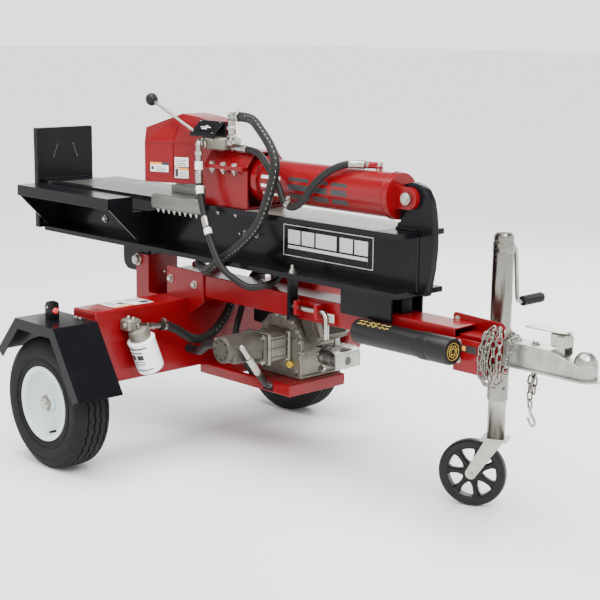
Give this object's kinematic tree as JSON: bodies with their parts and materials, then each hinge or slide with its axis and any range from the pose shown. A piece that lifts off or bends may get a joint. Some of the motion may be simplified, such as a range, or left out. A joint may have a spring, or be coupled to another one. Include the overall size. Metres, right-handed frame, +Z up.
{
  "type": "towable log splitter",
  "caption": "Towed hydraulic log splitter with an engine-driven pump, a tilting I-beam with ram and wedge, a valve lever, a tongue with coupler and a caster jack.",
  "frame": {"origin": "middle of the bounding box, on the ground", "axes": "+X forward along the tongue to the hitch, +Y across to the jack and engine side, +Z up"},
  "size_m": [2.2496, 1.1548, 1.1075],
  "materials": {
    "red_paint": "gloss red enamel",
    "red_cover": "red painted thin cover",
    "black_paint": "gloss black enamel",
    "zinc": "zinc plated",
    "bare_steel": "worn bare steel",
    "chrome_rod": "hard chrome",
    "cast_alloy": "cast, matt",
    "dark_iron": "cast, dark paint",
    "rubber_hose": "matt",
    "tyre_rubber": "matt tread rubber",
    "wheel_white": "gloss white enamel",
    "filter_white": "gloss white",
    "black_plastic": "moulded"
  },
  "bodies": {
    "frame": {"oil_tank": "red_paint", "axle_near": "red_paint", "axle_far": "red_paint", "fender_near": "black_paint", "fender_far": "black_paint", "pivot_post": "red_paint", "tilt_pin": "zinc", "tongue_saddle": "red_paint", "tongue": "red_paint", "engine_tray": "red_paint", "beam_rest": "black_paint", "latch_guide": "red_paint", "filter_head": "cast_alloy", "oil_filter": "filter_white", "engine_block": "cast_alloy", "engine_head": "cast_alloy", "fan_shroud": "red_cover", "fuel_tank": "red_cover", "air_cleaner": "black_plastic", "muffler": "bare_steel", "pump_adapter": "cast_alloy", "hydraulic_pump": "dark_iron", "suction_hose": "rubber_hose", "manual_canister": "black_plastic", "hitch_box": "red_paint", "coupler": "zinc", "chain_near": "zinc", "chain_far": "zinc"},
    "beam_unit": {"beam": "black_paint", "foot_plate": "black_paint", "cradle_near": "black_paint", "cradle_far": "black_paint", "cylinder_anchor": "black_paint", "cylinder_pin": "zinc", "cylinder_barrel": "red_paint", "stripper_base": "red_paint", "stripper_cap": "red_paint", "wedge_guard": "red_paint", "control_valve": "cast_alloy", "valve_cover": "black_paint", "return_hose": "rubber_hose", "pressure_hose": "rubber_hose", "cylinder_hose": "rubber_hose"},
    "ram": {"piston_rod": "chrome_rod", "wedge": "bare_steel", "slide_block": "zinc"},
    "lever": {"valve_lever": "zinc"},
    "near_wheel": {"tyre_near": "tyre_rubber", "wheel_near": "wheel_white"},
    "far_wheel": {"tyre_far": "tyre_rubber", "wheel_far": "wheel_white"},
    "jack": {"jack_tube": "zinc"},
    "jack_leg": {"jack_inner": "zinc"},
    "caster": {"caster_fork": "zinc"},
    "caster_roller": {"caster_wheel": "tyre_rubber"},
    "crank": {"jack_crank": "zinc"},
    "grip": {"crank_grip": "black_plastic"},
    "tilt_latch": {"latch_pin": "zinc"},
    "hitch_latch": {"coupler_latch": "zinc"},
    "oil_cap": {"filler_cap": "black_plastic"}
  },
  "joints": [
    {"name": "beam_tilt", "type": "hinge", "parent": "frame", "child": "beam_unit", "pos_m": [-0.61375, 0, 0.566], "axis": [0, -1, 0], "range_deg": [0, 90], "deforming": ["return_hose", "pressure_hose"]},
    {"name": "ram_stroke", "type": "slide", "parent": "beam_unit", "child": "ram", "axis": [-1, 0, 0], "range_m": [0, 0.585]},
    {"name": "valve_lever_throw", "type": "hinge", "parent": "beam_unit", "child": "lever", "pos_m": [-0.28375, -0.08, 0.9975], "axis": [0, 1, 0], "range_deg": [-6, 15], "stiffness_Nm_per_rad": 6},
    {"name": "near_wheel_spin", "type": "hinge", "parent": "frame", "child": "near_wheel", "pos_m": [-0.45575, -0.489, 0.201], "axis": [0, 1, 0], "continuous": true},
    {"name": "far_wheel_spin", "type": "hinge", "parent": "frame", "child": "far_wheel", "pos_m": [-0.45575, 0.489, 0.201], "axis": [0, 1, 0], "continuous": true},
    {"name": "jack_swing", "type": "hinge", "parent": "frame", "child": "jack", "pos_m": [0.67425, 0.187, 0.515], "axis": [0, 1, 0], "range_deg": [0, 90]},
    {"name": "jack_lift", "type": "slide", "parent": "jack", "child": "jack_leg", "axis": [0, 0, 1], "range_m": [-0.03, 0.1]},
    {"name": "caster_swivel", "type": "hinge", "parent": "jack_leg", "child": "caster", "pos_m": [0.67425, 0.187, 0.2], "axis": [0, 0, 1], "range_deg": [-237, 9]},
    {"name": "caster_roll", "type": "hinge", "parent": "caster", "child": "caster_roller", "pos_m": [0.61761, 0.16178, 0.097], "axis": [0.4067, -0.9135, 0], "continuous": true},
    {"name": "crank_turn", "type": "hinge", "parent": "jack", "child": "crank", "pos_m": [0.67425, 0.232, 0.74], "axis": [0, 1, 0], "range_deg": [-540, 1800]},
    {"name": "grip_spin", "type": "hinge", "parent": "crank", "child": "grip", "pos_m": [0.68625, 0.264, 0.583], "axis": [0, 1, 0], "continuous": true},
    {"name": "tilt_latch_pull", "type": "slide", "parent": "frame", "child": "tilt_latch", "axis": [1, 0, 0], "range_m": [0, 0.03], "stiffness_N_per_m": 400, "springref_m": -0.005},
    {"name": "hitch_latch_lift", "type": "hinge", "parent": "frame", "child": "hitch_latch", "pos_m": [1.01625, 0, 0.572], "axis": [0, 1, 0], "range_deg": [0, 80]},
    {"name": "oil_cap_lift", "type": "slide", "parent": "frame", "child": "oil_cap", "axis": [0, 0, 1], "range_m": [0, 0.04]}
  ],
  "couplings": [
    {"joint": "crank_turn", "follows": "jack_lift", "rad_per_m": 314.16}
  ]
}
